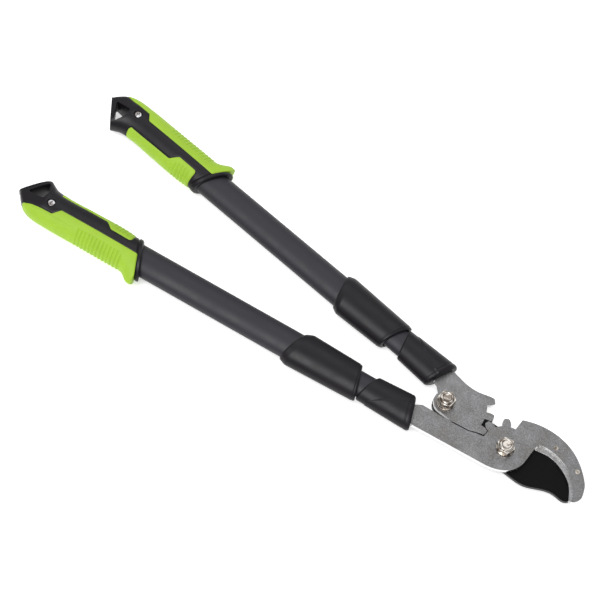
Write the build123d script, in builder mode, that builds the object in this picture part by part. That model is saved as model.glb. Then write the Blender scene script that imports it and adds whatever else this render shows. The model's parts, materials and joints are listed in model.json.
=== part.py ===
"""Bypass loppers with a geared head and telescopic handles.

The tool lies flat. The origin is under the main pivot, on the surface the tool rests on.
+X runs along the tool towards the jaws, +Y is the lever side and +Z is up.
Both plates of the head share one plane, with the blade under them on its own plane.
The lower handle is modelled in its own frame (u towards the jaws, v towards the other
handle), and the upper handle is its mirror image about the XZ plane.
"""
from build123d import *
from math import acos, atan2, cos, degrees, hypot, radians, sin, tan
import os

os.makedirs("parts", exist_ok=True)

# ---------------------------------------------------------------- driving sizes
grip_length = 154.5
grip_side_wall = 4.0                    # over the outer tube, at each side
grip_top_wall = 4.5                     # over the outer tube, above and below
pad_thickness = 3.0
guard_depth = 9.0
guard_round = 1.2

handle_angle = 6.0                      # each handle leans off the tool's axis
handle_offset = 17.5                    # where a handle's axis passes the main pivot
outer_tube_width = 35.0
outer_tube_height = 22.0
outer_tube_length = 382.5
inner_tube_length = 345.0
tube_wall = 1.5
bush_side_wall = 1.5                    # the inner tube runs this far inside the outer tube's bore
bush_top_wall = 0.8

plate_thickness = 5.0
blade_thickness = 4.0
blade_layer_gap = 1.5                   # between the plates and the blade
running_clearance = 0.05
slide_clearance = 0.3

# pivots and the two gear sectors
lever_pivot_x = -78.4
lever_pivot_y = 4.5
hook_pitch_radius = 28.5
tooth_pitch = 18.8                      # measured along either pitch circle
hook_tooth_width = 9.5                  # at the pitch circle
lever_tooth_width = 8.2
pressure_angle = 17.0
hook_addendum = 5.4
lever_addendum = 2.7
root_clearance = 0.7
tip_round = 1.6
blade_boss_radius = 13.5
lever_boss_radius = 13.0

# fasteners
bolt_diameter = 10.0
bolt_head_flats = 17.0
lever_head_height = 5.9
washer_diameter = 20.0
friction_disc_diameter = 26.0
thin_washer = 1.0
pivot_washer = 1.5
pivot_nut_height = 5.0
lever_nut_height = 8.0
nut_collar_diameter = 15.4
nut_collar_height = 2.2
nut_collar_round = 1.7
thread_stick_out = 0.8                  # thread end past the nut's collar
rivet_diameter = 5.2
rivet_proud = 0.4
grip_screw_diameter = 4.0
grip_screw_head = 8.4
grip_screw_head_height = 2.6
grip_screw_length = 9.0
screw_pocket_clearance = 0.6
screw_recess = 0.3                      # the head sits this far under the grip's crown

# counter blade let into the hook's underside
counter_blade_thickness = 4.0
cutting_bevel_width = 7.0
cutting_edge_land = 0.5

# plate tangs, their inserts and pins
tang_side_wall = 3.0                    # the insert's wall beside the tang
tang_clearance = 0.1
tang_length = 52.0
arm_outer_half = 12.5                   # from the handle's axis, where a plate leaves its ferrule
arm_inner_half = 14.0
shoulder_gap = 0.6                      # between a plate's shoulder and its ferrule
tang_pin_diameter = 5.0
tang_pin_spacing = 20.0

# slanted ends of the moulded sleeves
sleeve_slant = 17.0
grip_slant = 24.0
collar_length = 79.0
collar_back_wall = (5.2, 3.0)           # over the outer tube: at the sides, above and below
collar_front_wall = (2.9, 2.0)
collar_lip = 9.0                        # the collar reaches past its tube by this much
lip_gap = 1.6                           # open ring round the inner tube
ferrule_length = 53.0
ferrule_back_wall = (3.0, 2.3)          # over the inner tube: at the sides, above and below
ferrule_front_wall = (5.0, 3.0)
sleeve_gap = 12.0                       # bare inner tube between the collar and the ferrule
glide_bush_length = 58.0
stop_length = 14.0
stop_spigot_length = 12.0

# stations along the lower handle (u), from the main pivot towards the grip
ferrule_front_u = -99.0
inner_tube_setback = 9.0                # inner tube's front from the ferrule's front
tube_setback = 31.5                     # outer tube's hidden end from the butt
grip_screw_setback = 8.5                # grip screw from the outer tube's hidden end

# ------------------------------------------------------------- derived values
grip_width = outer_tube_width + 2 * grip_side_wall
grip_thickness = outer_tube_height + 2 * grip_top_wall
mid = grip_thickness / 2                # height of the handles' centre lines
plate_bottom = mid - plate_thickness / 2
plate_top = mid + plate_thickness / 2
blade_top = plate_bottom - blade_layer_gap - running_clearance
blade_bottom = blade_top - blade_thickness
head_washer_bottom = blade_bottom - running_clearance - thin_washer
counter_blade_bottom = plate_bottom - blade_layer_gap
centre_distance = hypot(lever_pivot_x, lever_pivot_y)
centre_line = degrees(atan2(lever_pivot_y, lever_pivot_x))
lever_pitch_radius = centre_distance - hook_pitch_radius
hook_tip_radius = hook_pitch_radius + hook_addendum
lever_tip_radius = lever_pitch_radius + lever_addendum
hook_root_radius = centre_distance - lever_tip_radius - root_clearance
lever_root_radius = centre_distance - hook_tip_radius - root_clearance
pivot = (0.0, 0.0)
lever_pivot = (lever_pivot_x, lever_pivot_y)
ferrule_back_u = ferrule_front_u - ferrule_length
collar_front_u = ferrule_back_u - sleeve_gap
collar_back_u = collar_front_u - collar_length
outer_tube_front_u = collar_front_u - collar_lip
outer_tube_back_u = outer_tube_front_u - outer_tube_length
grip_butt_u = outer_tube_back_u - tube_setback
grip_front_u = grip_butt_u + grip_length
grip_screw_u = outer_tube_back_u + grip_screw_setback
inner_tube_front_u = ferrule_front_u - inner_tube_setback
inner_tube_back_u = inner_tube_front_u - inner_tube_length
bore_width = outer_tube_width - 2 * tube_wall
bore_height = outer_tube_height - 2 * tube_wall
inner_tube_width = bore_width - 2 * bush_side_wall
inner_tube_height = bore_height - 2 * bush_top_wall
stop_width = bore_width - 2 * slide_clearance
stop_height = bore_height - 2 * slide_clearance
insert_width = inner_tube_width - 2 * tube_wall
insert_height = inner_tube_height - 2 * tube_wall
tang_width = insert_width - 2 * tang_side_wall
ferrule_back_width = inner_tube_width + 2 * ferrule_back_wall[0]
ferrule_back_height = inner_tube_height + 2 * ferrule_back_wall[1]
ferrule_front_width = inner_tube_width + 2 * ferrule_front_wall[0]
ferrule_front_height = inner_tube_height + 2 * ferrule_front_wall[1]
collar_back_width = outer_tube_width + 2 * collar_back_wall[0]
collar_back_height = outer_tube_height + 2 * collar_back_wall[1]
collar_front_width = outer_tube_width + 2 * collar_front_wall[0]
collar_front_height = outer_tube_height + 2 * collar_front_wall[1]
tang_back_u = ferrule_front_u - tang_length
outer_shoulder_u = ferrule_front_u + arm_outer_half * tan(radians(sleeve_slant)) + shoulder_gap
inner_shoulder_u = ferrule_front_u - tang_width / 2 * tan(radians(sleeve_slant)) + shoulder_gap
tang_pin_stations = (tang_back_u + 10.0, tang_back_u + 10.0 + tang_pin_spacing)

# the lower handle's frame, seen from above: x is u, y is v
lean = radians(handle_angle)
handle = Plane(origin=(0, -handle_offset, mid), x_dir=(cos(lean), sin(lean), 0), z_dir=(0, 0, 1))


def section(u, slant=0.0):
    """Plane across the lower handle at station u: x is v, y is up.

    A positive slant turns the section about its upright axis, so that its v side leads.
    """
    tilt = radians(slant)
    along = handle.x_dir * cos(tilt) - handle.y_dir * sin(tilt)
    across = handle.y_dir * cos(tilt) + handle.x_dir * sin(tilt)
    return Plane(origin=handle.from_local_coords((u, 0, 0)), x_dir=across, z_dir=along)


def oval(width, height, u, slant=0.0, shift=0.0):
    """Oval of the handle's cross-section, cut at a slant, as a placed sketch."""
    with BuildSketch(section(u, slant)) as shape:
        with Locations((shift / cos(radians(slant)), 0)):
            Ellipse(width / 2 / cos(radians(slant)), height / 2)
    return shape.sketch


def plan(u, v):
    """Point of the lower handle's plan in the tool's own XY."""
    point = handle.from_local_coords((u, v, 0))
    return (point.X, point.Y)


def upper(u, v):
    """The same point of the upper handle."""
    x, y = plan(u, v)
    return (x, -y)


def polar(centre, radius, angle):
    """Point at a radius and an angle in degrees from a centre."""
    return (centre[0] + radius * cos(radians(angle)), centre[1] + radius * sin(radians(angle)))


def finish(part, name):
    part.label = name
    export_step(part, f"parts/{name}.step")


def finish_pair(part, name):
    """Write the lower piece and its mirror image on the upper handle."""
    finish(part, f"lower_{name}")
    with BuildPart() as other:
        mirror(part, about=Plane.XZ)
    finish(other.part, f"upper_{name}")


# ------------------------------------------------------------------ gear teeth
def half_angle(radius, pitch_radius, width):
    """Half the angle that an involute tooth spans at a radius."""
    base = pitch_radius * cos(radians(pressure_angle))

    def involute(r):
        angle = acos(min(1.0, base / r))
        return tan(angle) - angle

    return degrees(width / (2 * pitch_radius) + involute(pitch_radius) - involute(radius))


def tooth(centre, angle, pitch_radius, width, foot_radius, tip_radius):
    """One tooth as a flat sketch, from inside its root circle to its tip."""
    base = pitch_radius * cos(radians(pressure_angle))
    start = max(foot_radius, base)
    radii = [start + (tip_radius - start) * step / 4 for step in range(5)]
    spans = [half_angle(r, pitch_radius, width) for r in radii]
    rising = [polar(centre, r, angle - a) for r, a in zip(radii, spans)]
    falling = [polar(centre, r, angle + a) for r, a in zip(radii, spans)]
    foot = foot_radius - 3.0
    with BuildSketch() as shape:
        with BuildLine():
            Polyline(rising[0], polar(centre, foot, angle - spans[0]),
                     polar(centre, foot, angle + spans[0]), falling[0])
            Spline(*rising)
            ThreePointArc(rising[-1], polar(centre, tip_radius, angle), falling[-1])
            Spline(*falling)
        make_face()
        corners = [v for v in shape.vertices() if hypot(v.X - centre[0], v.Y - centre[1]) > tip_radius - 0.05]
        fillet(corners, tip_round)
    return shape.sketch


# ------------------------------------------------------------------ hook plate
hook_teeth = [centre_line - (k + 0.5) * degrees(tooth_pitch / hook_pitch_radius) for k in range(2)]
shoulder_x = -3.3
ramp_end = polar(pivot, hook_root_radius, 187.5)
shoulder_foot = (shoulder_x, (hook_root_radius ** 2 - shoulder_x ** 2) ** 0.5)
shoulder_top = (shoulder_x, 38.5)
jaw_heel = (24.7, 24.5)
hook_nose = (93.5, 3.5)
hook_tip = (87.0, -8.0)
rivet_spots = [(42.0, 33.5), (74.3, 24.9)]
tang_pin_spots = [plan(u, 0) for u in tang_pin_stations]

with BuildSketch(Plane.XY.offset(counter_blade_bottom)) as counter_outline:
    with BuildLine():
        Spline((25.4, 18.8), (45.4, 21.6), (69.4, 12.3), (84.2, -7.4), tangents=((0.95, 0.3), (0.45, -0.9)))
        Line((84.2, -7.4), (87.6, -6.4))
        Spline((87.6, -6.4), (86.0, 12.0), (76.5, 28.4), (60.0, 37.0), (42.0, 38.6), (27.6, 33.0),
               tangents=((0.3, 0.95), (-0.8, -0.6)))
        Line((27.6, 33.0), (25.4, 18.8))
    make_face()

with BuildPart() as hook_plate:
    with BuildSketch(Plane.XY.offset(plate_bottom)):
        with BuildLine():
            Polyline(plan(tang_back_u, -tang_width / 2),
                     plan(tang_back_u, tang_width / 2),
                     plan(inner_shoulder_u, tang_width / 2),
                     plan(inner_shoulder_u + 7.0, arm_inner_half),
                     (-60.0, -10.9),
                     (-42.0, -8.4),
                     (-33.5, -5.2),
                     ramp_end)
            ThreePointArc(ramp_end, polar(pivot, hook_root_radius, 140), shoulder_foot)
            Line(shoulder_foot, shoulder_top)
            Spline(shoulder_top, (33.0, 47.0), (66.0, 37.6), (86.0, 20.3), hook_nose,
                   tangents=((0.9, 0.45), (0.25, -0.97)))
            Spline(hook_nose, (92.0, -3.5), hook_tip, tangents=((0.05, -1.0), (-0.95, -0.3)))
            Spline(hook_tip, (80.6, 6.2), (62.5, 22.2), (42.0, 27.6), jaw_heel,
                   tangents=((-0.1, 1.0), (-0.85, -0.5)))
            Line(jaw_heel, (24.7, 1.0))
            Spline((24.7, 1.0), (17.0, -18.7), (-5.0, -29.3), tangents=((0, -1.0), (-0.98, -0.18)))
            Polyline((-5.0, -29.3),
                     plan(outer_shoulder_u, -arm_outer_half),
                     plan(outer_shoulder_u, -tang_width / 2),
                     plan(tang_back_u, -tang_width / 2))
        make_face()
        for angle in hook_teeth:
            add(tooth(pivot, angle, hook_pitch_radius, hook_tooth_width, hook_root_radius, hook_tip_radius))
    extrude(amount=plate_thickness)
    with Locations(pivot):
        Hole(bolt_diameter / 2)
    with Locations(*rivet_spots):
        Hole(rivet_diameter / 2)
    with Locations(*tang_pin_spots):
        Hole(tang_pin_diameter / 2)
    extrude(counter_outline.sketch, amount=counter_blade_thickness, mode=Mode.SUBTRACT)
finish(hook_plate.part, "hook_plate")

with BuildPart() as counter_blade:
    extrude(counter_outline.sketch, amount=counter_blade_thickness)
    with Locations(*rivet_spots):
        Hole(rivet_diameter / 2)
finish(counter_blade.part, "counter_blade")

with BuildPart() as rivets:
    with BuildSketch(Plane.XY.offset(counter_blade_bottom)):
        with Locations(*rivet_spots):
            Circle(rivet_diameter / 2)
    extrude(amount=plate_top - counter_blade_bottom + rivet_proud)
    fillet(rivets.edges().group_by(Axis.Z)[-1], rivet_proud * 0.9)
finish(rivets.part, "counter_blade_rivets")

# ----------------------------------------------------------------------- blade
blade_tip = (86.0, -3.5)
blade_heel = (27.0, 22.5)
blade_back = (13.0, -20.2)
boss_low = (lever_pivot_x, lever_pivot_y - blade_boss_radius)
boss_left = (lever_pivot_x - blade_boss_radius, lever_pivot_y)
boss_high = (lever_pivot_x, lever_pivot_y + blade_boss_radius)

def blade_outline(level, inset):
    """Blade outline on a level, with its cutting edge drawn in by an inset."""
    with BuildSketch(Plane.XY.offset(level)) as shape:
        with BuildLine():
            Spline(blade_tip,
                   (79.0 - 0.8 * inset, 9.0 - 0.55 * inset),
                   (57.0 - 0.35 * inset, 24.6 - 0.93 * inset),
                   (40.0, 26.4 - inset),
                   blade_heel,
                   tangents=((-0.3, 0.95), (-0.9, -0.42)))
            Spline(blade_heel, (14.0, 20.5), (0.0, 20.5), tangents=((-0.9, -0.42), (-1.0, 0.0)))
            Polyline((0.0, 20.5), (-35.0, 18.4), boss_high)
            ThreePointArc(boss_high, boss_left, boss_low)
            Line(boss_low, (-12.0, -19.5))
            Spline((-12.0, -19.5), (0.0, -20.6), blade_back, tangents=((0.97, -0.15), (1.0, -0.02)))
            Spline(blade_back, (38.4, -19.7), (55.4, -11.7), (68.4, -8.7), (78.0, -9.4), blade_tip,
                   tangents=((1.0, -0.05), (0.5, 0.85)))
        make_face()
    return shape.sketch


with BuildPart() as blade:
    add(blade_outline(blade_bottom, cutting_bevel_width))
    add(blade_outline(blade_top - cutting_edge_land, 0.0))
    loft(ruled=True)
    extrude(blade_outline(blade_top - cutting_edge_land, 0.0), amount=cutting_edge_land)
    with Locations(pivot, lever_pivot):
        Hole(bolt_diameter / 2 + running_clearance)
finish(blade.part, "blade")

# ----------------------------------------------------------------- lever plate
lever_line = centre_line - 180.0
lever_teeth = [lever_line + k * degrees(tooth_pitch / lever_pitch_radius) for k in range(3)]
tip_half = half_angle(lever_tip_radius, lever_pitch_radius, lever_tooth_width)
first_angle = lever_teeth[0] - tip_half
last_angle = lever_teeth[-1] + tip_half
lever_pin_spots = [upper(u, 0) for u in tang_pin_stations]

with BuildPart() as lever_plate:
    with BuildSketch(Plane.XY.offset(plate_bottom)):
        with BuildLine():
            Polyline(upper(tang_back_u, tang_width / 2),
                     upper(tang_back_u, -tang_width / 2),
                     upper(outer_shoulder_u, -tang_width / 2),
                     upper(outer_shoulder_u, -arm_outer_half))
            Spline(upper(outer_shoulder_u, -arm_outer_half), (-65.0, 35.6), (-55.0, 36.9),
                   polar(lever_pivot, lever_tip_radius, last_angle),
                   tangents=((0.98, -0.18), (1.0, 0.1)))
            Line(polar(lever_pivot, lever_tip_radius, last_angle),
                 polar(lever_pivot, lever_root_radius, last_angle))
            ThreePointArc(polar(lever_pivot, lever_root_radius, last_angle),
                          polar(lever_pivot, lever_root_radius, 18.0),
                          polar(lever_pivot, lever_root_radius, first_angle))
            Polyline(polar(lever_pivot, lever_root_radius, first_angle),
                     polar(lever_pivot, lever_tip_radius - 1.0, first_angle),
                     (-33.5, -3.8),
                     (-41.0, -7.0),
                     (-60.0, -9.7),
                     polar(lever_pivot, lever_boss_radius, -85.0))
            ThreePointArc(polar(lever_pivot, lever_boss_radius, -85.0),
                          polar(lever_pivot, lever_boss_radius, 215.0),
                          polar(lever_pivot, lever_boss_radius, 165.0))
            Polyline(polar(lever_pivot, lever_boss_radius, 165.0),
                     upper(inner_shoulder_u + 6.0, arm_inner_half),
                     upper(inner_shoulder_u + 2.0, arm_inner_half - 0.6),
                     upper(inner_shoulder_u, tang_width / 2),
                     upper(tang_back_u, tang_width / 2))
        make_face()
        for angle in lever_teeth:
            add(tooth(lever_pivot, angle, lever_pitch_radius, lever_tooth_width,
                      lever_root_radius, lever_tip_radius))
    extrude(amount=plate_thickness)
    with Locations(lever_pivot):
        Hole(bolt_diameter / 2)
    with Locations(*lever_pin_spots):
        Hole(tang_pin_diameter / 2)
finish(lever_plate.part, "lever_plate")

# ------------------------------------------------------------ pivot hardware
def disc(spot, bottom, thickness, diameter, name):
    """Flat washer on a pivot bolt."""
    with BuildPart() as washer:
        with BuildSketch(Plane.XY.offset(bottom)):
            with Locations(spot):
                Circle(diameter / 2)
                Circle(bolt_diameter / 2, mode=Mode.SUBTRACT)
        extrude(amount=thickness)
    finish(washer.part, name)


def bolt(spot, head_bottom, head_height, top, name):
    """Hex bolt with its head below and a chamfered thread end above."""
    with BuildPart() as piece:
        with BuildSketch(Plane.XY.offset(head_bottom)):
            with Locations(spot):
                RegularPolygon(bolt_head_flats / 2, 6, major_radius=False)
        extrude(amount=head_height)
        with BuildSketch(Plane.XY.offset(head_bottom + head_height)):
            with Locations(spot):
                Circle(bolt_diameter / 2)
        extrude(amount=top - head_bottom - head_height)
        chamfer(piece.edges().group_by(Axis.Z)[-1], 1.0)
    finish(piece.part, name)


def nut(spot, bottom, height, turn, name):
    """Locking hex nut with a round collar, bored for the bolt."""
    with BuildPart() as piece:
        with BuildSketch(Plane.XY.offset(bottom)):
            with Locations(Location((*spot, 0), (0, 0, turn))):
                RegularPolygon(bolt_head_flats / 2, 6, major_radius=False)
        extrude(amount=height)
        with BuildSketch(Plane.XY.offset(bottom + height)):
            with Locations(spot):
                Circle(nut_collar_diameter / 2)
        extrude(amount=nut_collar_height)
        fillet(piece.edges().group_by(Axis.Z)[-1], nut_collar_round)
        with BuildSketch(Plane.XY.offset(bottom)):
            with Locations(spot):
                Circle(bolt_diameter / 2)
        extrude(amount=height + nut_collar_height, mode=Mode.SUBTRACT)
    finish(piece.part, name)


pivot_nut_bottom = plate_top + pivot_washer
pivot_bolt_top = pivot_nut_bottom + pivot_nut_height + nut_collar_height + thread_stick_out
lever_nut_bottom = plate_top + thin_washer
lever_bolt_top = lever_nut_bottom + lever_nut_height + nut_collar_height + thread_stick_out

bolt(pivot, 0.0, head_washer_bottom, pivot_bolt_top, "pivot_bolt")
disc(pivot, head_washer_bottom, thin_washer, washer_diameter, "pivot_head_washer")
disc(pivot, plate_bottom - blade_layer_gap, blade_layer_gap, friction_disc_diameter, "pivot_friction_disc")
disc(pivot, plate_top, pivot_washer, washer_diameter, "pivot_top_washer")
nut(pivot, pivot_nut_bottom, pivot_nut_height, 10.0, "pivot_nut")

bolt(lever_pivot, head_washer_bottom - lever_head_height, lever_head_height, lever_bolt_top, "lever_bolt")
disc(lever_pivot, head_washer_bottom, thin_washer, washer_diameter, "lever_head_washer")
disc(lever_pivot, plate_bottom - blade_layer_gap, blade_layer_gap, friction_disc_diameter, "lever_friction_disc")
disc(lever_pivot, plate_top, thin_washer, washer_diameter, "lever_top_washer")
nut(lever_pivot, lever_nut_bottom, lever_nut_height, 25.0, "lever_nut")

# -------------------------------------------------- inner tube and its fittings
with BuildPart() as tang_insert:
    extrude(oval(insert_width, insert_height, tang_back_u - 4.0),
            amount=inner_tube_front_u - tang_back_u + 4.0)
    with BuildSketch(section(tang_back_u)):
        Rectangle(tang_width + 2 * tang_clearance, plate_thickness)
    extrude(amount=tang_length, mode=Mode.SUBTRACT)
    with BuildSketch(handle.offset(-inner_tube_height / 2)):
        with Locations(*[(u, 0) for u in tang_pin_stations]):
            Circle(tang_pin_diameter / 2)
    extrude(amount=inner_tube_height, mode=Mode.SUBTRACT)
finish_pair(tang_insert.part, "tang_insert")

with BuildPart() as inner_tube:
    extrude(oval(inner_tube_width, inner_tube_height, inner_tube_back_u), amount=inner_tube_length)
    extrude(oval(insert_width, insert_height, inner_tube_back_u),
            amount=inner_tube_length, mode=Mode.SUBTRACT)
    with BuildSketch(handle.offset(-inner_tube_height / 2)):
        with Locations(*[(u, 0) for u in tang_pin_stations]):
            Circle(tang_pin_diameter / 2)
    extrude(amount=inner_tube_height, mode=Mode.SUBTRACT)
finish_pair(inner_tube.part, "inner_tube")

# the pins end just under the tube's curved outer face
pin_reach = inner_tube_height / 2 * (1 - (tang_pin_diameter / inner_tube_width) ** 2) ** 0.5
with BuildPart() as tang_pins:
    with BuildSketch(handle.offset(-pin_reach)):
        with Locations(*[(u, 0) for u in tang_pin_stations]):
            Circle(tang_pin_diameter / 2)
    extrude(amount=2 * pin_reach)
finish_pair(tang_pins.part, "tang_pins")

with BuildPart() as tube_stop:
    extrude(oval(stop_width, stop_height, inner_tube_back_u - stop_length), amount=stop_length)
    extrude(oval(insert_width, insert_height, inner_tube_back_u), amount=stop_spigot_length)
finish_pair(tube_stop.part, "tube_stop")

# the ferrule covers the joint between the plate and the inner tube
with BuildPart() as ferrule:
    add(oval(ferrule_back_width - 2.4, ferrule_back_height - 2.4, ferrule_back_u - 1.2, sleeve_slant))
    add(oval(ferrule_back_width, ferrule_back_height, ferrule_back_u, sleeve_slant))
    loft(ruled=True)
    add(oval(ferrule_back_width, ferrule_back_height, ferrule_back_u, sleeve_slant))
    add(oval(ferrule_front_width, ferrule_front_height, ferrule_front_u - 2.5, -sleeve_slant))
    loft(ruled=True)
    add(oval(ferrule_front_width, ferrule_front_height, ferrule_front_u - 2.5, -sleeve_slant))
    add(oval(ferrule_front_width - 4.0, ferrule_front_height - 4.0, ferrule_front_u, -sleeve_slant))
    loft(ruled=True)
    extrude(oval(inner_tube_width, inner_tube_height, ferrule_back_u - ferrule_back_width),
            amount=inner_tube_front_u - ferrule_back_u + ferrule_back_width, mode=Mode.SUBTRACT)
    with BuildSketch(section(inner_tube_front_u)):
        Rectangle(tang_width + 2 * tang_clearance, plate_thickness)
    extrude(amount=ferrule_front_u - inner_tube_front_u + ferrule_front_width, mode=Mode.SUBTRACT)
finish_pair(ferrule.part, "ferrule")

# ------------------------------------------------ outer tube, bush and collar
with BuildPart() as outer_tube:
    extrude(oval(outer_tube_width, outer_tube_height, outer_tube_back_u), amount=outer_tube_length)
    extrude(oval(bore_width, bore_height, outer_tube_back_u), amount=outer_tube_length, mode=Mode.SUBTRACT)
    with BuildSketch(handle):
        with Locations((grip_screw_u, 0)):
            Circle(grip_screw_diameter / 2)
    extrude(amount=outer_tube_height, mode=Mode.SUBTRACT)
finish_pair(outer_tube.part, "outer_tube")

with BuildPart() as glide_bush:
    extrude(oval(bore_width, bore_height, outer_tube_front_u - glide_bush_length), amount=glide_bush_length)
    extrude(oval(inner_tube_width + 2 * slide_clearance, inner_tube_height + 2 * slide_clearance,
             outer_tube_front_u - glide_bush_length), amount=glide_bush_length, mode=Mode.SUBTRACT)
finish_pair(glide_bush.part, "glide_bush")

rim_width = outer_tube_width + 3.0
rim_height = outer_tube_height + 3.0
mouth_width = inner_tube_width + 2 * lip_gap
mouth_height = inner_tube_height + 2 * lip_gap
collar_rings = [
    (rim_width, rim_height, collar_back_u, sleeve_slant),
    (collar_back_width, collar_back_height, collar_back_u + 6.0, sleeve_slant),
    (collar_front_width, collar_front_height, collar_front_u - 1.5, -sleeve_slant),
    (collar_front_width - 2.5, collar_front_height - 2.5, collar_front_u, -sleeve_slant),
]

with BuildPart() as collar:
    for first, second in zip(collar_rings, collar_rings[1:]):
        add(oval(*first))
        add(oval(*second))
        loft(ruled=True)
    extrude(oval(outer_tube_width, outer_tube_height, collar_back_u - outer_tube_width),
            amount=outer_tube_front_u - collar_back_u + outer_tube_width, mode=Mode.SUBTRACT)
    extrude(oval(mouth_width, mouth_height, outer_tube_front_u),
            amount=collar_lip + outer_tube_width, mode=Mode.SUBTRACT)
finish_pair(collar.part, "collar")

# ------------------------------------------------------------------------ grip
# from the butt: distance along, then how far each side and the top draw in
butt_rings = [
    (-1.0, 20.5, 9.5, 8.5),
    (4.0, 15.0, 4.5, 6.5),
    (10.0, 9.0, -0.5, 4.5),
    (17.0, 4.5, -6.5, 2.7),
    (25.0, 1.9, -7.2, 1.2),
    (33.0, 0.7, -2.1, 0.3),
    (42.0, 0.2, -0.1, 0.0),
]
front_rings = [
    (-70.0, 0.0, 0.0, 0.0),
    (-20.0, -0.3, -0.1, 0.0),
    (-6.0, -0.3, 1.0, 0.5),
    (15.0, 0.0, 2.0, 1.0),
]


def grip_body(skin):
    """The grip's rounded body, drawn in by a skin on every side, before its ends are cut."""
    rings = [(grip_butt_u + along, *insets) for along, *insets in butt_rings]
    rings += [(grip_front_u + along, *insets) for along, *insets in front_rings]
    with BuildPart() as body:
        for u, outer_inset, inner_inset, top_inset in rings:
            outer_side = -grip_width / 2 + outer_inset + skin
            inner_side = grip_width / 2 - inner_inset - skin
            height = grip_thickness - 2 * (top_inset + skin)
            add(oval(inner_side - outer_side, height, u, shift=(inner_side + outer_side) / 2))
        loft(ruled=True)
    return body.part


def plan_prism(points, depth, round_to=0.0):
    """Upright prism of the handle's plan, equally deep above and below its axis."""
    with BuildPart() as prism:
        with BuildSketch(handle.offset(-depth)):
            with BuildLine():
                Polyline(*points, close=True)
            make_face()
        extrude(amount=2 * depth)
        if round_to:
            fillet(prism.edges().filter_by(Axis.Z), round_to)
    return prism.part


inner_pad_plan = [
    (grip_butt_u + 43.0, 2 * grip_width),
    (grip_butt_u + 43.0, 17.5),
    (grip_butt_u + 44.5, 15.4),
    (grip_front_u - 52.5, 15.4),
    (grip_front_u - 44.0, 7.4),
    (grip_front_u - 20.5, 7.4),
    (grip_front_u - 18.5, 9.5),
    (grip_front_u - 19.5, 2 * grip_width),
]
outer_pad_plan = [
    (grip_butt_u + 4.0, -2 * grip_width),
    (grip_butt_u + 10.5, -13.0),
    (grip_butt_u + 22.5, -10.9),
    (grip_butt_u + 47.5, -10.5),
    (grip_butt_u + 54.5, -2.3),
    (grip_front_u - 4.0, -2.3),
    (grip_front_u + 4.5, -grip_width / 2 - 2.0),
    (grip_front_u + 4.5, -2 * grip_width),
]
guard_plan = [
    (grip_front_u - 14.0, -17.0),
    (grip_front_u - 8.0, -24.5),
    (grip_front_u - 2.5, -31.0),
    (grip_front_u + 3.5, -30.5),
    (grip_front_u + 4.5, -25.0),
    (grip_front_u + 1.0, -17.0),
]
butt_cut_plan = [
    (grip_butt_u - 9.6, -12.0),
    (grip_butt_u, 0.7),
    (grip_butt_u + 22.3, 30.1),
    (grip_butt_u + 45.0, 60.0),
    (grip_butt_u - 60.0, 60.0),
    (grip_butt_u - 60.0, -12.0),
]
lanyard_hole_plan = [
    (grip_butt_u + 8.6, 1.6),
    (grip_butt_u + 24.8, 22.6),
    (grip_butt_u + 30.6, 10.5),
    (grip_butt_u + 29.0, 0.6),
]
butt_cut = plan_prism(butt_cut_plan, grip_thickness)
front_cut_plane = section(grip_front_u, -grip_slant)

with BuildPart() as envelope:
    add(grip_body(0.0))
    add(butt_cut, mode=Mode.SUBTRACT)
    split(bisect_by=front_cut_plane, keep=Keep.BOTTOM)

inner_body = grip_body(pad_thickness)

with BuildPart() as inner_pad:
    add(envelope.part)
    add(inner_body, mode=Mode.SUBTRACT)
    add(plan_prism(inner_pad_plan, grip_thickness), mode=Mode.INTERSECT)

with BuildPart() as outer_skin:
    add(envelope.part)
    add(inner_body, mode=Mode.SUBTRACT)
    add(plan_prism(outer_pad_plan, grip_thickness), mode=Mode.INTERSECT)

with BuildPart() as outer_pad:
    add(plan_prism(guard_plan, guard_depth, 1.5))
    fillet(outer_pad.faces().filter_by(Axis.Z).edges(), guard_round)
    add(envelope.part, mode=Mode.SUBTRACT)
    add(outer_skin.part)
finish_pair(inner_pad.part, "inner_pad")
finish_pair(outer_pad.part, "outer_pad")

screw_seat = grip_thickness / 2 - screw_recess - grip_screw_head_height
with BuildPart() as grip_core:
    add(envelope.part)
    add(inner_pad.part, mode=Mode.SUBTRACT)
    add(outer_skin.part, mode=Mode.SUBTRACT)
    add(plan_prism(lanyard_hole_plan, grip_thickness, 2.5), mode=Mode.SUBTRACT)
    extrude(oval(outer_tube_width, outer_tube_height, outer_tube_back_u), amount=grip_length, mode=Mode.SUBTRACT)
    with BuildSketch(handle):
        with Locations((grip_screw_u, 0)):
            Circle(grip_screw_diameter / 2)
    extrude(amount=grip_thickness, mode=Mode.SUBTRACT)
    with BuildSketch(handle.offset(screw_seat)):
        with Locations((grip_screw_u, 0)):
            Circle(grip_screw_head / 2 + screw_pocket_clearance)
    extrude(amount=grip_thickness, mode=Mode.SUBTRACT)
finish_pair(grip_core.part, "grip_core")

with BuildPart() as grip_screw:
    with BuildSketch(handle.offset(screw_seat - grip_screw_length)):
        with Locations((grip_screw_u, 0)):
            Circle(grip_screw_diameter / 2)
    extrude(amount=grip_screw_length)
    with BuildSketch(handle.offset(screw_seat)):
        with Locations((grip_screw_u, 0)):
            Circle(grip_screw_head / 2)
    extrude(amount=grip_screw_head_height)
    fillet(grip_screw.edges().group_by(Axis.Z)[-1], 1.1)
    with BuildSketch(handle.offset(screw_seat + grip_screw_head_height - 1.5)):
        with Locations((grip_screw_u, 0)):
            Rectangle(4.6, 1.0)
            Rectangle(1.0, 4.6)
    extrude(amount=1.5, mode=Mode.SUBTRACT)
finish_pair(grip_screw.part, "grip_screw")
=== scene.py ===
"""Looks of the bypass loppers: detailed grips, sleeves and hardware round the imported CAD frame."""
import json
import math

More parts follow.
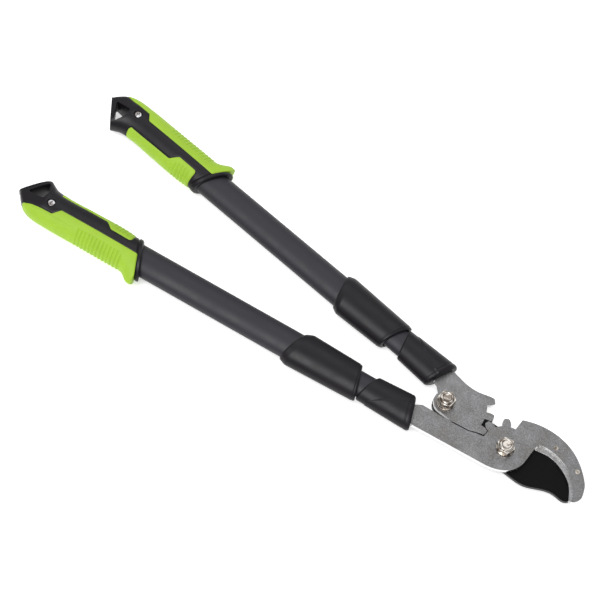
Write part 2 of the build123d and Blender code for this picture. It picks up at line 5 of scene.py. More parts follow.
import bmesh
import bpy
import numpy as np
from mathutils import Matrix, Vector


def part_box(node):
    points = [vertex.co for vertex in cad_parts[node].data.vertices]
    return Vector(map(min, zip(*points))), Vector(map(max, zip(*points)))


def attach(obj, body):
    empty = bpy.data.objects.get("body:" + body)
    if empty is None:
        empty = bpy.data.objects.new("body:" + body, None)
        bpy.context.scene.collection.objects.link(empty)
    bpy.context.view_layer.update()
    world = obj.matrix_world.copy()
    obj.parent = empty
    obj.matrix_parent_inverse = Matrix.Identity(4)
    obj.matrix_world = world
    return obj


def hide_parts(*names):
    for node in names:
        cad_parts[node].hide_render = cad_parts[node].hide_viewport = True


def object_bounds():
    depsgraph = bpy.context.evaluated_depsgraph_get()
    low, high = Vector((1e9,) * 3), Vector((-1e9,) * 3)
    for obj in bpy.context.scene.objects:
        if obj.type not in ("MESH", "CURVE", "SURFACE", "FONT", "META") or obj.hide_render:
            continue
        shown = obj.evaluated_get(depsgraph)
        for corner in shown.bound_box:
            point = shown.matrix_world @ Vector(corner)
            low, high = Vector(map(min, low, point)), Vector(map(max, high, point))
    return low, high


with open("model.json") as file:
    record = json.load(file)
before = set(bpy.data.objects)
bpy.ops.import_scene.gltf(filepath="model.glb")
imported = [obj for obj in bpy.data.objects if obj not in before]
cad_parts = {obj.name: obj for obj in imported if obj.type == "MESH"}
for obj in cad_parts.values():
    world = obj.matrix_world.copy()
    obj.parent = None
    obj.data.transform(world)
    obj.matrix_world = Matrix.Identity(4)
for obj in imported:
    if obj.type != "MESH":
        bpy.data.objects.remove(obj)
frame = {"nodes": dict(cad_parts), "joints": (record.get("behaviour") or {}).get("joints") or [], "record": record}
cad_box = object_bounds()
MM = 0.001
SIDES = ("lower", "upper")

# ------------------------------------------------------------------ handle frame
slide = next(j for j in frame["joints"] if j["name"] == "lower_extension")
ALONG = -Vector(slide["axis"]).normalized()
ACROSS = Vector((-ALONG.y, ALONG.x, 0.0))
UP = Vector((0.0, 0.0, 1.0))


def tube_size(node):
    """Length and width of a straight tube that leans by the handle's angle, and its centre."""
    low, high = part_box(node)
    size = high - low
    lean = ALONG.x ** 2 - ALONG.y ** 2
    length = (size.x * ALONG.x - size.y * ALONG.y) / lean
    width = (size.y * ALONG.x - size.x * ALONG.y) / lean
    return length, width, (low + high) / 2


tube_length, tube_width, tube_centre = tube_size("lower_outer_tube")
tube_low, tube_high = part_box("lower_outer_tube")
tube_height = tube_high.z - tube_low.z
inner_length, inner_width, inner_centre = tube_size("lower_inner_tube")
inner_low, inner_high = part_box("lower_inner_tube")
inner_height = inner_high.z - inner_low.z
TUBE_SETBACK = 31.5                       # the tube's hidden end from the butt, mm
BUTT = tube_centre - ALONG * (tube_length / 2 + TUBE_SETBACK * MM)
GRIP_LENGTH = 154.5
SLEEVE_OVERHANG = 9.0                     # collar and ferrule pass the end of their tube
COLLAR_FRONT = TUBE_SETBACK + tube_length / MM + SLEEVE_OVERHANG
INNER_FRONT = (inner_centre - BUTT).dot(ALONG) / MM + inner_length / MM / 2
FERRULE_FRONT = INNER_FRONT + SLEEVE_OVERHANG
TUBE = (tube_width / MM, tube_height / MM)
INNER_TUBE = (inner_width / MM, inner_height / MM)


def place(side, points):
    """World places of handle points (along from the butt, across, up), all in mm."""
    sign = 1.0 if side == "lower" else -1.0
    points = np.asarray(points, float) * MM
    basis = np.array([ALONG, ACROSS, UP])
    world = np.array(BUTT) + points @ basis
    world[..., 1] *= sign
    return world


# -------------------------------------------------------------------- mesh tools
def new_object(name, verts, faces, smooth_angle=35.0):
    """Mesh object with outward faces, smooth apart from its sharp edges."""
    mesh = bpy.data.meshes.new(name)
    mesh.from_pydata([tuple(v) for v in verts], [], faces)
    bm = bmesh.new()
    bm.from_mesh(mesh)
    bmesh.ops.recalc_face_normals(bm, faces=bm.faces)
    bm.to_mesh(mesh)
    bm.free()
    obj = bpy.data.objects.new(name, mesh)
    bpy.context.scene.collection.objects.link(obj)
    smooth(obj, smooth_angle)
    return obj


def smooth(obj, angle):
    """Shade smooth, with edges sharper than the angle in degrees kept hard."""
    mesh = obj.data
    mesh.shade_smooth()
    mesh.set_sharp_from_angle(angle=math.radians(angle))


def grid_faces(rings, count, wrap=False):
    """Quads between rings of count points, and from the last ring to the first if wrapped."""
    faces = []
    for r in range(rings if wrap else rings - 1):
        following = (r + 1) % rings
        for k in range(count):
            n = (k + 1) % count
            faces.append((r * count + k, r * count + n, following * count + n, following * count + k))
    return faces


def closed_loft(name, side, grid):
    """Closed body over a grid of rings, its two ends filled as fans."""
    rings, count = grid.shape[:2]
    world = place(side, grid).reshape(-1, 3)
    first, last = place(side, grid[0].mean(0)), place(side, grid[-1].mean(0))
    verts = np.vstack([world, first, last])
    faces = grid_faces(rings, count)
    end = (rings - 1) * count
    for k in range(count):
        n = (k + 1) % count
        faces.append((n, k, rings * count))
        faces.append((end + k, end + n, rings * count + 1))
    return new_object(name, verts, faces)


def prism(name, side, points, low, high):
    """Upright prism over a plan polygon."""
    verts = [(*p, low) for p in points] + [(*p, high) for p in points]
    count = len(points)
    faces = [tuple(range(count)), tuple(range(count, 2 * count))]
    for k in range(count):
        n = (k + 1) % count
        faces.append((k, n, count + n, count + k))
    return new_object(name, place(side, verts), faces)


def oval_rod(name, side, width, height, start, end, count=96):
    """Plain oval rod along the handle's axis, for cutting bores."""
    turn = np.linspace(0.0, 2 * math.pi, count, endpoint=False)
    rings = [np.stack([np.full(count, g), width / 2 * np.cos(turn), height / 2 * np.sin(turn)], 1)
             for g in (start, end)]
    return closed_loft(name, side, np.array(rings))


def cut(obj, tool, operation="DIFFERENCE", keep_tool=False):
    """Boolean of two closed meshes, applied."""
    modifier = obj.modifiers.new("cut", "BOOLEAN")
    modifier.object = tool
    modifier.operation = operation
    modifier.solver = "MANIFOLD"
    apply_modifiers(obj)
    if not keep_tool:
        bpy.data.objects.remove(tool)


def apply_modifiers(obj):
    """Replace an object's mesh by its evaluated one."""
    bpy.context.view_layer.update()
    evaluated = obj.evaluated_get(bpy.context.evaluated_depsgraph_get())
    mesh = bpy.data.meshes.new_from_object(evaluated)
    obj.modifiers.clear()
    obj.data = mesh


def bevel_edges(obj, width, angle=50.0, segments=2):
    """Round the sharp edges of a mesh by a width in mm."""
    modifier = obj.modifiers.new("bevel", "BEVEL")
    modifier.width = width * MM
    modifier.segments = segments
    modifier.limit_method = "ANGLE"
    modifier.angle_limit = math.radians(angle)
    modifier.use_clamp_overlap = True
    apply_modifiers(obj)


def rounded(points, radius, steps=4):
    """Polygon with every corner replaced by an arc-like curve."""
    result = []
    count = len(points)
    for k in range(count):
        before, here, after = (np.array(points[(k + d) % count], float) for d in (-1, 0, 1))
        to_before, to_after = before - here, after - here
        reach = min(radius, 0.45 * np.linalg.norm(to_before), 0.45 * np.linalg.norm(to_after))
        start = here + to_before / np.linalg.norm(to_before) * reach
        end = here + to_after / np.linalg.norm(to_after) * reach
        for step in range(steps + 1):
            t = step / steps
            result.append((1 - t) ** 2 * start + 2 * t * (1 - t) * here + t ** 2 * end)
    return result


def border_distance(points, x, y):
    """Distance from a polygon's outline, positive inside it, for whole arrays."""
    nearest = np.full(x.shape, 1e9)
    inside = np.zeros(x.shape, bool)
    for (ax, ay), (bx, by) in zip(points, points[1:] + points[:1]):
        dx, dy = bx - ax, by - ay
        t = np.clip(((x - ax) * dx + (y - ay) * dy) / (dx * dx + dy * dy), 0.0, 1.0)
        nearest = np.minimum(nearest, np.hypot(x - ax - t * dx, y - ay - t * dy))
        crosses = (ay > y) != (by > y)
        inside ^= crosses & (x < (bx - ax) * (y - ay) / (by - ay + 1e-12) + ax)
    return np.where(inside, nearest, -nearest)


def step_up(x, start, end):
    """Smooth 0 to 1 ramp."""
    t = np.clip((x - start) / (end - start), 0.0, 1.0)
    return t * t * (3.0 - 2.0 * t)


def through(stations, x):
    """Smooth curve through (place, value) stations, flat beyond its ends."""
    places = np.array([s[0] for s in stations], float)
    values = np.array([s[1] for s in stations], float)
    slopes = np.gradient(values, places)
    slopes[0] = slopes[-1] = 0.0
    x = np.clip(x, places[0], places[-1])
    k = np.clip(np.searchsorted(places, x) - 1, 0, len(places) - 2)
    h = places[k + 1] - places[k]
    t = (x - places[k]) / h
    return ((1 + 2 * t) * (1 - t) ** 2 * values[k] + t * (1 - t) ** 2 * h * slopes[k]
            + t * t * (3 - 2 * t) * values[k + 1] + t * t * (t - 1) * h * slopes[k + 1])


# -------------------------------------------------------------------- materials
def material(name, base, roughness, metallic=0.0, specular=0.5):
    """Plain shader of one colour, with its node tree and shader node for further detail."""
    mat = bpy.data.materials.new(name)
    mat.use_nodes = True
    shader = mat.node_tree.nodes["Principled BSDF"]
    shader.inputs["Base Color"].default_value = (*base, 1.0)
    shader.inputs["Roughness"].default_value = roughness
    shader.inputs["Metallic"].default_value = metallic
    shader.inputs["Specular IOR Level"].default_value = specular
    return mat, mat.node_tree, shader


def noise_node(tree, scale, detail=4.0, roughness=0.6):
    """Noise in the object's own metres, so scale is features per metre."""
    coords = tree.nodes.new("ShaderNodeTexCoord")
    texture = tree.nodes.new("ShaderNodeTexNoise")
    texture.inputs["Scale"].default_value = scale
    texture.inputs["Detail"].default_value = detail
    texture.inputs["Roughness"].default_value = roughness
    tree.links.new(coords.outputs["Object"], texture.inputs["Vector"])
    return texture.outputs["Fac"]


def ramp(tree, source, stops):
    """Colour ramp through (position, colour) stops."""
    node = tree.nodes.new("ShaderNodeValToRGB")
    node.color_ramp.elements[0].position = stops[0][0]
    node.color_ramp.elements[0].color = (*stops[0][1], 1.0)
    node.color_ramp.elements[1].position = stops[-1][0]
    node.color_ramp.elements[1].color = (*stops[-1][1], 1.0)
    for position, colour in stops[1:-1]:
        element = node.color_ramp.elements.new(position)
        element.color = (*colour, 1.0)
    tree.links.new(source, node.inputs["Fac"])
    return node.outputs["Color"]


def spread(tree, source, low, high):
    """Map a noise's middle range to a low and high value."""
    node = tree.nodes.new("ShaderNodeMapRange")
    node.inputs["From Min"].default_value = 0.3
    node.inputs["From Max"].default_value = 0.7
    node.inputs["To Min"].default_value = low
    node.inputs["To Max"].default_value = high
    tree.links.new(source, node.inputs["Value"])
    return node.outputs["Result"]


def bump(tree, shader, layers):
    """Chain of bumps, each (height, strength, distance in mm)."""
    normal = None
    for height, strength, distance in layers:
        node = tree.nodes.new("ShaderNodeBump")
        node.inputs["Strength"].default_value = strength
        node.inputs["Distance"].default_value = distance * MM
        tree.links.new(height, node.inputs["Height"])
        if normal is not None:
            tree.links.new(normal, node.inputs["Normal"])
        normal = node.outputs["Normal"]
    tree.links.new(normal, shader.inputs["Normal"])


def grey(value):
    return (value, value, value)


def edge_highlight_factor(tree):
    """1 on upright cut edges and their rounding, 0 on a plate's flat faces: the mask for painted edge highlights.
    """
    geometry = tree.nodes.new("ShaderNodeNewGeometry")
    split = tree.nodes.new("ShaderNodeSeparateXYZ")
    size = tree.nodes.new("ShaderNodeMath")
    size.operation = "ABSOLUTE"
    fade = tree.nodes.new("ShaderNodeMapRange")
    fade.inputs["From Min"].default_value = 0.97
    fade.inputs["From Max"].default_value = 0.8
    tree.links.new(geometry.outputs["Normal"], split.inputs["Vector"])
    tree.links.new(split.outputs["Z"], size.inputs[0])
    tree.links.new(size.outputs["Value"], fade.inputs["Value"])
    return fade.outputs["Result"]


def mixed(tree, factor, a, b, blend="MIX"):
    """Colour mix of two sockets or plain colours."""
    node = tree.nodes.new("ShaderNodeMix")
    node.data_type = "RGBA"
    node.blend_type = blend
    for socket, value in (("Factor", factor), ("A", a), ("B", b)):
        if isinstance(value, bpy.types.NodeSocket):
            tree.links.new(value, node.inputs[socket])
        elif socket == "Factor":
            node.inputs[socket].default_value = value
        else:
            node.inputs[socket].default_value = (*value, 1.0)
    return node.outputs["Result"]


def steel_material(name, dark, light, roughness, edge_highlight=0.0):
    """Blasted steel: speckle and grit over broad, slightly warm mottling, and cut edges lit by a painted
    highlight, with a smoother polished finish there.
    """
    mat, tree, shader = material(name, grey(light), roughness, metallic=1.0)
    speckle = noise_node(tree, 1400.0, 3.0, 0.7)
    mottle = noise_node(tree, 55.0, 3.0, 0.55)
    fine = ramp(tree, speckle,
                [(0.34, grey(dark * 0.6)), (0.5, grey(light * 0.84)), (0.66, grey(light * 1.45))])
    broad = ramp(tree, mottle,
                 [(0.34, (0.87, 0.845, 0.82)), (0.52, (0.98, 0.98, 1.0)), (0.68, (1.13, 1.13, 1.15))])
    grit = ramp(tree, noise_node(tree, 480.0, 2.0, 0.6), [(0.36, grey(0.92)), (0.64, grey(1.09))])
    gritty = mixed(tree, 1.0, fine, grit, "MULTIPLY")
    colour = mixed(tree, 1.0, gritty, broad, "MULTIPLY")
    finish = spread(tree, mottle, roughness - 0.06, roughness + 0.08)
    if edge_highlight:
        # painted highlight: upright cut edges get a lighter colour, and a smoother polished finish
        rim = edge_highlight_factor(tree)
        colour = mixed(tree, rim, colour, grey(edge_highlight))
        smoother = tree.nodes.new("ShaderNodeMapRange")
        smoother.inputs["To Min"].default_value = roughness
        smoother.inputs["To Max"].default_value = roughness * 0.6
        tree.links.new(rim, smoother.inputs["Value"])
        finish = smoother.outputs["Result"]
    tree.links.new(colour, shader.inputs["Base Color"])
    tree.links.new(finish, shader.inputs["Roughness"])
    bump(tree, shader, [(speckle, 0.5, 0.12)])
    return mat


def plastic_material(name, base, roughness, grain=2200.0, depth=0.05, specular=0.5, edge_highlight=0.0):
    """Moulded or coated surface: fine grain, faint unevenness, and a painted highlight on upright cut edges where
    asked.
    """
    mat, tree, shader = material(name, base, roughness, specular=specular)
    grain_noise = noise_node(tree, grain, 2.0, 0.5)
    broad = noise_node(tree, 60.0, 3.0, 0.5)
    dark = tuple(c * 0.965 for c in base)
    light = tuple(c * 1.03 for c in base)
    colour = ramp(tree, broad, [(0.35, dark), (0.65, light)])
    # painted highlight: upright cut edges get a lighter grey
    if edge_highlight:
        colour = mixed(tree, edge_highlight_factor(tree), colour, grey(edge_highlight))
    tree.links.new(colour, shader.inputs["Base Color"])
    tree.links.new(spread(tree, broad, roughness - 0.04, roughness + 0.06), shader.inputs["Roughness"])
    bump(tree, shader, [(grain_noise, 0.35, depth)])
    return mat


def plated_material(name, base, roughness):
    """Bright plating with darker clouds as painted dark reflections, and slight waviness."""
    mat, tree, shader = material(name, base, roughness, metallic=1.0)
    reflection_cloud = noise_node(tree, 210.0, 1.0, 0.5)
    dark = tuple(channel * share for channel, share in zip(base, (0.3, 0.27, 0.25)))
    # painted reflection: darker clouds on the plating stand in for dark reflections
    tree.links.new(ramp(tree, reflection_cloud, [(0.42, dark), (0.6, base)]), shader.inputs["Base Color"])
    tree.links.new(spread(tree, reflection_cloud, roughness, roughness + 0.1), shader.inputs["Roughness"])
    bump(tree, shader, [(noise_node(tree, 700.0, 2.0, 0.5), 0.15, 0.08)])
    return mat


for plain in list(bpy.data.materials):
    bpy.data.materials.remove(plain)
finished = (
    # the edge colours below are painted highlights on upright cut edges
    steel_material("blasted_steel", 0.19, 0.272, 0.44, edge_highlight=0.76),
    steel_material("ground_steel", 0.28, 0.39, 0.4, edge_highlight=0.48),
    plastic_material("coated_blade", (0.0035, 0.0035, 0.0037), 0.46, grain=1100.0, depth=0.3,
                     specular=0.09, edge_highlight=0.06),
    plastic_material("moulded_black", (0.0078, 0.0064, 0.0092), 0.38, specular=0.26),
    plastic_material("coated_tube", (0.021, 0.0192, 0.0258), 0.48, grain=3000.0, depth=0.03,
                     specular=0.4),
    plastic_material("bearing_plastic", (0.02, 0.02, 0.022), 0.4),
    plastic_material("soft_green", (0.333, 0.54, 0.037), 0.5, grain=1800.0, depth=0.05, specular=0.3),
    plated_material("nickel_plate", (0.6, 0.565, 0.52), 0.14),
    plated_material("zinc_screw", (0.6, 0.6, 0.62), 0.2),
    plated_material("rivet_brass", (0.62, 0.58, 0.52), 0.35),
    steel_material("plain_steel", 0.3, 0.4, 0.35),
)
MATERIALS = {mat.name: mat for mat in finished}


def dress(obj, slot):
    """Give an object the one material of its slot."""
    obj.data.materials.clear()
    obj.data.materials.append(MATERIALS[slot])


for row in frame["record"]["subparts"]:
    dress(frame["nodes"][row["node"]], row["material_slot"])


# ------------------------------------------------------------------------- grip
HALF_WIDTH = 21.5
HALF_HEIGHT = 15.5
GRIP_SLANT = math.tan(math.radians(24.0))
# how far the outer, inner and top faces stand in from a plain oval: (along from the butt, inset)
OUTER_INSET = [(-1, 20.5), (4, 15.0), (10, 9.0), (17, 4.5), (24, 1.9), (31, 0.7), (42, 0.2), (84, 0.0),
               (134, -0.3), (150, 0.0)]
INNER_INSET = [(-1, 9.5), (4, 4.5), (10, -0.5), (17, -6.2), (23, -7.2), (27.5, -4.9), (34, -1.7),
               (43, -0.2), (84, 0.0), (134, -0.1), (150, 1.0)]
TOP_INSET = [(-1, 8.5), (4, 7.0), (10, 5.4), (17, 3.9), (24, 2.1), (31, 0.3), (42, 0.0),
             (134, 0.0), (150, 0.6)]
PAD_DEPTH = 2.5

# plans, as (along, across) points
OUTER_PAD = [(4.0, -60.0), (10.5, -13.0), (22.5, -10.9), (47.5, -10.5), (54.5, -2.3), (150.5, -2.3),
             (159.6, -23.4), (161.0, -60.0)]
INNER_PAD = [(43.0, 60.0), (43.0, 17.5), (44.5, 15.4), (102.0, 15.4), (110.5, 7.4), (134.0, 7.4),
             (136.0, 9.5), (135.0, 60.0)]
OUTER_RIBS = [(72.0, -60.0), (80.0, -8.5), (134.0, -8.5), (140.0, -14.0), (137.0, -60.0)]
INNER_RIBS = [(100.0, 60.0), (108.0, 16.0), (114.0, 10.4), (132.0, 10.4), (132.5, 60.0)]
BUTT_CUT = [(-9.6, -12.0), (0.0, 0.7), (24.6, 28.6), (52.3, 60.0), (-60.0, 60.0), (-60.0, -12.0)]
LANYARD_HOLE = [(8.6, 1.6), (24.8, 22.6), (30.6, 10.5), (29.0, 0.6)]
SCREW_AT = 40.0
SEAT_RADIUS = 4.9
SEAT_DEPTH = 2.95
REACH = 60.0                              # cutting tools run this far past the grip
POCKET_MARGIN = 2.0
COARSE = {"spacing": 1.6, "count": 120}   # rings of the plain cutting bodies
RIB_PITCH = 4.5
GUARD = 9.3


def grip_grid(lift, start=-1.0, end=GRIP_LENGTH, spacing=0.55, count=208, guard=1.0):
    """Rings of the grip's skin. lift(u, v, g) gives each point's rise over the plain body in mm.

    The guard is how far the outer side flares out at the front. The section is boxy at the butt
    and oval further on.
    """
    g = np.linspace(start, end, int((end - start) / spacing))[:, None]
    turn = np.linspace(0.0, 2 * math.pi, count, endpoint=False)[None, :]
    outer = -HALF_WIDTH + through(OUTER_INSET, g)
    inner = HALF_WIDTH - through(INNER_INSET, g)
    top = HALF_HEIGHT - through(TOP_INSET, g)
    flare = guard * step_up(g, 131.0, 146.0) * np.clip(-np.cos(turn), 0.0, 1.0) ** 2.6
    lean = GRIP_SLANT * step_up(g, 60.0, GRIP_LENGTH - 8.0)
    boxy = 0.5 + 0.5 * step_up(g, 8.0, 36.0)
    sideways = np.sign(np.cos(turn)) * np.abs(np.cos(turn)) ** boxy
    upwards = np.sign(np.sin(turn)) * np.abs(np.sin(turn)) ** boxy

    def surface(rise):
        v = (inner + outer) / 2 + ((inner - outer) / 2 + rise) * sideways - flare
        z = (top + rise) * upwards
        u = g - lean * np.clip(v, -22.0, 22.0)
        return u, v, z

    u, v, z = surface(0.0)
    rise = lift(u, v, g + 0.0 * turn)
    u, v, z = surface(rise)
    return np.stack([u, v, z], -1)


def groove(distance, width, depth):
    """Smooth groove where the distance is nought."""
    return -depth * np.exp(-(distance / width) ** 2)


def core_lift(u, v, g):
    """The hard core: a groove along each pad, and a raised rim round the front end."""
    rise = groove(border_distance(OUTER_PAD, u, v), 0.7, 0.5)
    rise = rise + groove(border_distance(INNER_PAD, u, v), 0.7, 0.5)
    from_front = GRIP_LENGTH - g
    rim = step_up(5.2 - from_front, 0.0, 0.8) - 1.3 * step_up(1.2 - from_front, 0.0, 1.2)
    rise = rise + 0.9 * rim + groove(from_front - 5.9, 0.6, 0.7)
    return rise


def ribs(distance, u, v, lean, depth):
    """Rounded ribs across a region, fading out at its outline."""
    phase = (u + lean * v) / RIB_PITCH
    from_groove = np.abs(phase - np.round(phase)) * RIB_PITCH
    wave = 0.3 * step_up(from_groove, 0.6, RIB_PITCH / 2) - np.exp(-(from_groove / 0.75) ** 2)
    return depth * wave * step_up(distance, 0.0, 2.5)


def outer_pad_lift(u, v, g):
    """The outer pad: rounded border, ribs near the front and a fine line along it."""
    inside = border_distance(OUTER_PAD, u, v)
    rise = 0.35 - 0.85 * (1.0 - step_up(inside, 0.0, 1.1))
    rise = rise + ribs(border_distance(OUTER_RIBS, u, v), u, v, 0.12, 0.85)
    line = np.where((u > 14.0) & (u < 76.0), np.abs(v + 12.6), 9.0)
    return rise + groove(line, 0.5, 0.5)


def inner_pad_lift(u, v, g):
    """The inner pad: rounded border and ribs near the front."""
    inside = border_distance(INNER_PAD, u, v)
    rise = 0.35 - 0.85 * (1.0 - step_up(inside, 0.0, 1.1))
    return rise + ribs(border_distance(INNER_RIBS, u, v), u, v, -0.25, 0.85)


def flat_lift(rise):
    return lambda u, v, g: rise + 0.0 * u


def make_grip(side):
    """Hard core with its lanyard hole, and the two soft pads let into it."""
    body = f"{side}_handle"
    inside = grip_grid(flat_lift(-PAD_DEPTH), -3.0, GRIP_LENGTH + 8.0, **COARSE)
    floor_tool = closed_loft("floor_tool", side, inside)
    butt_tool = prism("butt_tool", side, rounded(BUTT_CUT, 1.5), -REACH, REACH)
    core = closed_loft(f"{side}_core", side, grip_grid(core_lift))
    for name, outline, lift in (("outer", OUTER_PAD, outer_pad_lift), ("inner", INNER_PAD, inner_pad_lift)):
        pad = closed_loft(f"{side}_{name}_overmould", side, grip_grid(lift, guard=GUARD))
        cut(pad, prism("region", side, rounded(outline, 1.8), -REACH, REACH), "INTERSECT")
        cut(pad, floor_tool, keep_tool=True)
        cut(pad, butt_tool, keep_tool=True)
        smooth(pad, 40.0)
        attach(pad, body)
        dress(pad, "soft_green")
        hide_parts(f"{side}_{name}_pad")
        outside = grip_grid(flat_lift(POCKET_MARGIN), guard=GUARD, **COARSE)
        pocket = closed_loft("pocket", side, outside)
        cut(pocket, prism("region", side, rounded(outline, 1.8), -REACH, REACH), "INTERSECT")
        cut(pocket, floor_tool, keep_tool=True)
        cut(core, pocket)
    cut(core, butt_tool)
    cut(core, prism("hole", side, rounded(LANYARD_HOLE, 3.0, 6), -REACH, REACH))
    cut(core, oval_rod("bore", side, *TUBE, TUBE_SETBACK, GRIP_LENGTH + 40.0))
    turn = np.linspace(0.0, 2 * math.pi, 48, endpoint=False)
    seat = [(SCREW_AT + SEAT_RADIUS * math.cos(t), SEAT_RADIUS * math.sin(t)) for t in turn]
    cut(core, prism("seat", side, seat, HALF_HEIGHT - SEAT_DEPTH, REACH))
    bpy.data.objects.remove(floor_tool)
    bevel_edges(core, 0.5, 55.0)
    smooth(core, 40.0)
    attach(core, body)
    dress(core, "moulded_black")
    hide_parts(f"{side}_grip_core")


# ---------------------------------------------------------------------- sleeves
SLEEVE_SLANT = math.tan(math.radians(17.0))


def make_sleeve(side, name, node, body, start, stations, bores, lift, spacing=0.5, count=144):
    """Hollow oval sleeve. Each station is (along, width, height); its ends lean opposite ways."""
    length = stations[-1][0] - stations[0][0]
    g = np.linspace(stations[0][0], stations[-1][0], int(length / spacing) + 1)[:, None]
    turn = np.linspace(0.0, 2 * math.pi, count, endpoint=False)[None, :]
    places = [s[0] for s in stations]
    width = np.interp(g, places, [s[1] for s in stations])
    height = np.interp(g, places, [s[2] for s in stations])
    lean = SLEEVE_SLANT * (1.0 - 2.0 * (g - places[0]) / length)

    def surface(rise):
        v = (width / 2 + rise) * np.cos(turn)
        z = (height / 2 + rise) * np.sin(turn)
        return start + g + lean * v, v, z

    u, v, z = surface(0.0)
    u, v, z = surface(lift(u - start, v, g + 0.0 * turn))
    outside = np.stack([u, v, z], -1)
    inside = []
    for along, bore_width, bore_height in bores:
        bore_v = bore_width / 2 * np.cos(turn[0])
        bore_z = bore_height / 2 * np.sin(turn[0])
        tilt = SLEEVE_SLANT * (1.0 - 2.0 * (along - places[0]) / length)
        inside.append(np.stack([start + along + tilt * bore_v, bore_v, bore_z], -1))
    rings = np.concatenate([outside, np.array(inside[::-1])])
    world = place(side, rings).reshape(-1, 3)
    sleeve = new_object(f"{side}_{name}", world, grid_faces(len(rings), count, wrap=True), 38.0)
    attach(sleeve, body)
    dress(sleeve, "moulded_black")
    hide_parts(f"{side}_{node}")


def fitted(tube, gap):
    """Width and height of a bore round an oval tube."""
    return tube[0] + gap, tube[1] + gap


TUBE_GAP = 0.2
SLIDE_GAP = 3.2
TANG_SLOT = (21.0, 5.6)
COLLAR_LENGTH = 79.0
COLLAR = [(0.0, 38.6, 25.4), (1.2, 40.4, 26.6), (6.6, 44.9, 27.8), (8.0, 45.4, 28.0),
          (72.0, 41.4, 26.3), (77.6, 40.8, 26.0), (78.6, 39.6, 24.9), (79.0, 37.8, 23.4)]
COLLAR_BORES = [(0.0, *fitted(TUBE, TUBE_GAP)), (69.8, *fitted(TUBE, TUBE_GAP)),
                (70.0, *fitted(INNER_TUBE, SLIDE_GAP)), (79.0, *fitted(INNER_TUBE, SLIDE_GAP))]
FERRULE_LENGTH = 54.2
FERRULE = [(0.0, 31.6, 19.8), (0.5, 33.4, 20.9), (1.4, 34.6, 21.8), (50.6, 39.0, 23.4),
           (52.6, 38.0, 22.6), (54.2, 34.6, 19.4)]
FERRULE_BORES = [(0.0, *fitted(INNER_TUBE, TUBE_GAP)), (45.0, *fitted(INNER_TUBE, TUBE_GAP)),
                 (45.2, *TANG_SLOT), (54.2, *TANG_SLOT)]
CREASE = [(6.0, -17.0), (15.0, -11.5), (27.0, -4.0), (44.0, 3.5), (60.0, 8.0), (60.0, -60.0), (6.0, -60.0)]
FERRULE_RIBS = [(18.0, -60.0), (20.0, -12.0), (34.0, -4.0), (46.5, -2.0), (46.0, -60.0)]


def collar_lift(u, v, g):
    """A shallow step down towards the front edge, with a slight bead behind it."""
    return -0.3 * step_up(g, 75.4, 76.2) + 0.15 * np.exp(-((g - 75.0) / 0.8) ** 2)


def ferrule_lift(u, v, g):
    """A raised shield on the outer side, with fine ribs, and a groove near the front."""
    shield = border_distance(CREASE, u, v)
    rise = 0.5 * step_up(shield, -0.35, 0.35)
    rib_field = step_up(border_distance(FERRULE_RIBS, u, v), 0.0, 4.0)
    rise = rise + 0.11 * rib_field * np.sin(2 * math.pi * (u + 0.2 * v) / 1.9)
    return rise + groove(g - 48.0, 0.5, 0.35)


for side in SIDES:
    plate_body = "hook" if side == "lower" else "lever"
    make_grip(side)
    make_sleeve(side, "slide_collar", "collar", f"{side}_handle", COLLAR_FRONT - COLLAR_LENGTH,
                COLLAR, COLLAR_BORES, collar_lift)
    make_sleeve(side, "ferrule_cover", "ferrule", plate_body, FERRULE_FRONT - FERRULE_LENGTH,
                FERRULE, FERRULE_BORES, ferrule_lift)


# ------------------------------------------------------------- plates and blade
def soften(node, width, segments=2, angle=35.0):
    """Round a CAD node's sharp edges without touching its mesh."""
    obj = frame["nodes"][node]
    weld = obj.modifiers.new("weld", "WELD")
    weld.merge_threshold = 0.01 * MM
    bevel = obj.modifiers.new("bevel", "BEVEL")
    bevel.width = width * MM
    bevel.segments = segments
    bevel.limit_method = "ANGLE"
    bevel.angle_limit = math.radians(angle)


for node in ("hook_plate", "lever_plate"):
    soften(node, 0.7)
soften("counter_blade", 0.2)
for node in ("pivot_nut", "lever_nut", "pivot_bolt", "lever_bolt", "pivot_top_washer", "lever_top_washer",
             "pivot_head_washer", "lever_head_washer"):
    soften(node, 0.25)

# ------------------------------------------------------- floor, light and camera
floor_mesh = bpy.data.meshes.new("floor")
half_floor = 6.0
floor_corners = [(x * half_floor, y * half_floor, 0) for x, y in ((-1, -1), (1, -1), (1, 1), (-1, 1))]
floor_mesh.from_pydata(floor_corners, [], [(0, 1, 2, 3)])
floor = bpy.data.objects.new("floor", floor_mesh)
floor.location.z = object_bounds()[0][2] - 0.2 * MM
bpy.context.scene.collection.objects.link(floor)
floor_material, floor_tree, floor_shader = material("studio_floor", grey(0.94), 0.9)
tint = ramp(floor_tree, noise_node(floor_tree, 2.0), [(0.3, grey(0.93)), (0.7, grey(0.95))])
floor_tree.links.new(tint, floor_shader.inputs["Base Color"])
floor_shader.inputs["Emission Color"].default_value = (1.0, 1.0, 1.0, 1.0)
floor_shader.inputs["Emission Strength"].default_value = 0.45
floor_mesh.materials.append(floor_material)

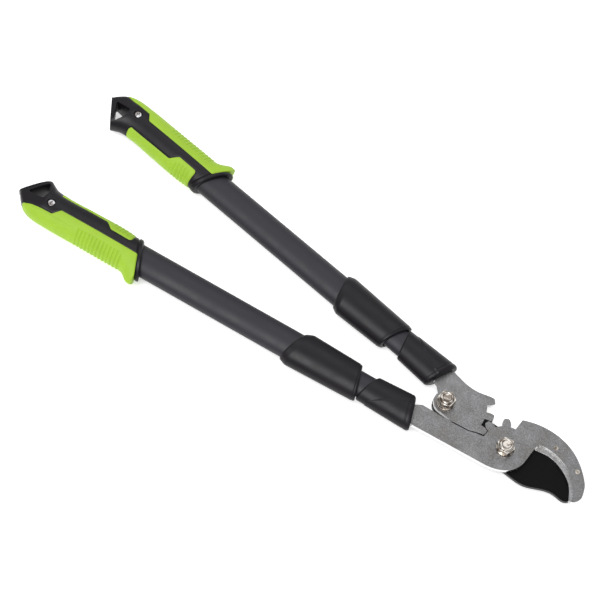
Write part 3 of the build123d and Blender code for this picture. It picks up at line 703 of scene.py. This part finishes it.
world = bpy.data.worlds.new("studio")
world.use_nodes = True
background = world.node_tree.nodes["Background"]
background.inputs["Color"].default_value = (1.0, 1.0, 1.0, 1.0)
background.inputs["Strength"].default_value = 0.52
bpy.context.scene.world = world

low, high = (Vector(corner) for corner in cad_box)
middle = (low + high) / 2


def direction(azimuth, elevation):
    """Unit vector towards an azimuth from +X and an elevation, in degrees."""
    turn, rise = math.radians(azimuth), math.radians(elevation)
    return Vector((math.cos(rise) * math.cos(turn), math.cos(rise) * math.sin(turn), math.sin(rise)))


def add_light(name, kind, azimuth, elevation, distance, energy):
    """Light that looks at the object's middle."""
    data = bpy.data.lights.new(name, kind)
    data.energy = energy
    light = bpy.data.objects.new(name, data)
    bpy.context.scene.collection.objects.link(light)
    towards = direction(azimuth, elevation)
    light.location = middle + towards * distance
    light.rotation_euler = (-towards).to_track_quat("-Z", "Y").to_euler()
    return data


key = add_light("key", "SUN", -98.0, 64.0, 2.2, 1.8)
key.angle = math.radians(36.0)
back = add_light("back", "AREA", 118.0, 55.0, 2.4, 9.0)
back.shape = "RECTANGLE"
back.size, back.size_y = 1.8, 1.2

CAMERA_AZIMUTH = -64.3                    # where the camera stands, from +X
CAMERA_ELEVATION = 60.3
CAMERA_DISTANCE = 2.182
CAMERA_ROLL = 12.0
LENS = 121.1
AIM = Vector((-0.2637, 0.0058, 0.0155))

camera_data = bpy.data.cameras.new("camera")
camera_data.lens = LENS
camera_data.sensor_width = 36.0
camera_data.clip_end = 20.0
camera = bpy.data.objects.new("camera", camera_data)
bpy.context.scene.collection.objects.link(camera)
away = direction(CAMERA_AZIMUTH, CAMERA_ELEVATION)
camera.location = AIM + away * CAMERA_DISTANCE
facing = (-away).to_track_quat("-Z", "Y").to_matrix()
roll = math.radians(CAMERA_ROLL)
right = facing.col[0] * math.cos(roll) + facing.col[1] * math.sin(roll)
upward = facing.col[1] * math.cos(roll) - facing.col[0] * math.sin(roll)
facing.col[0], facing.col[1] = right, upward
camera.rotation_euler = facing.to_euler()
bpy.context.scene.camera = camera
bpy.context.scene.view_settings.view_transform = "Standard"

bpy.context.view_layer.update()
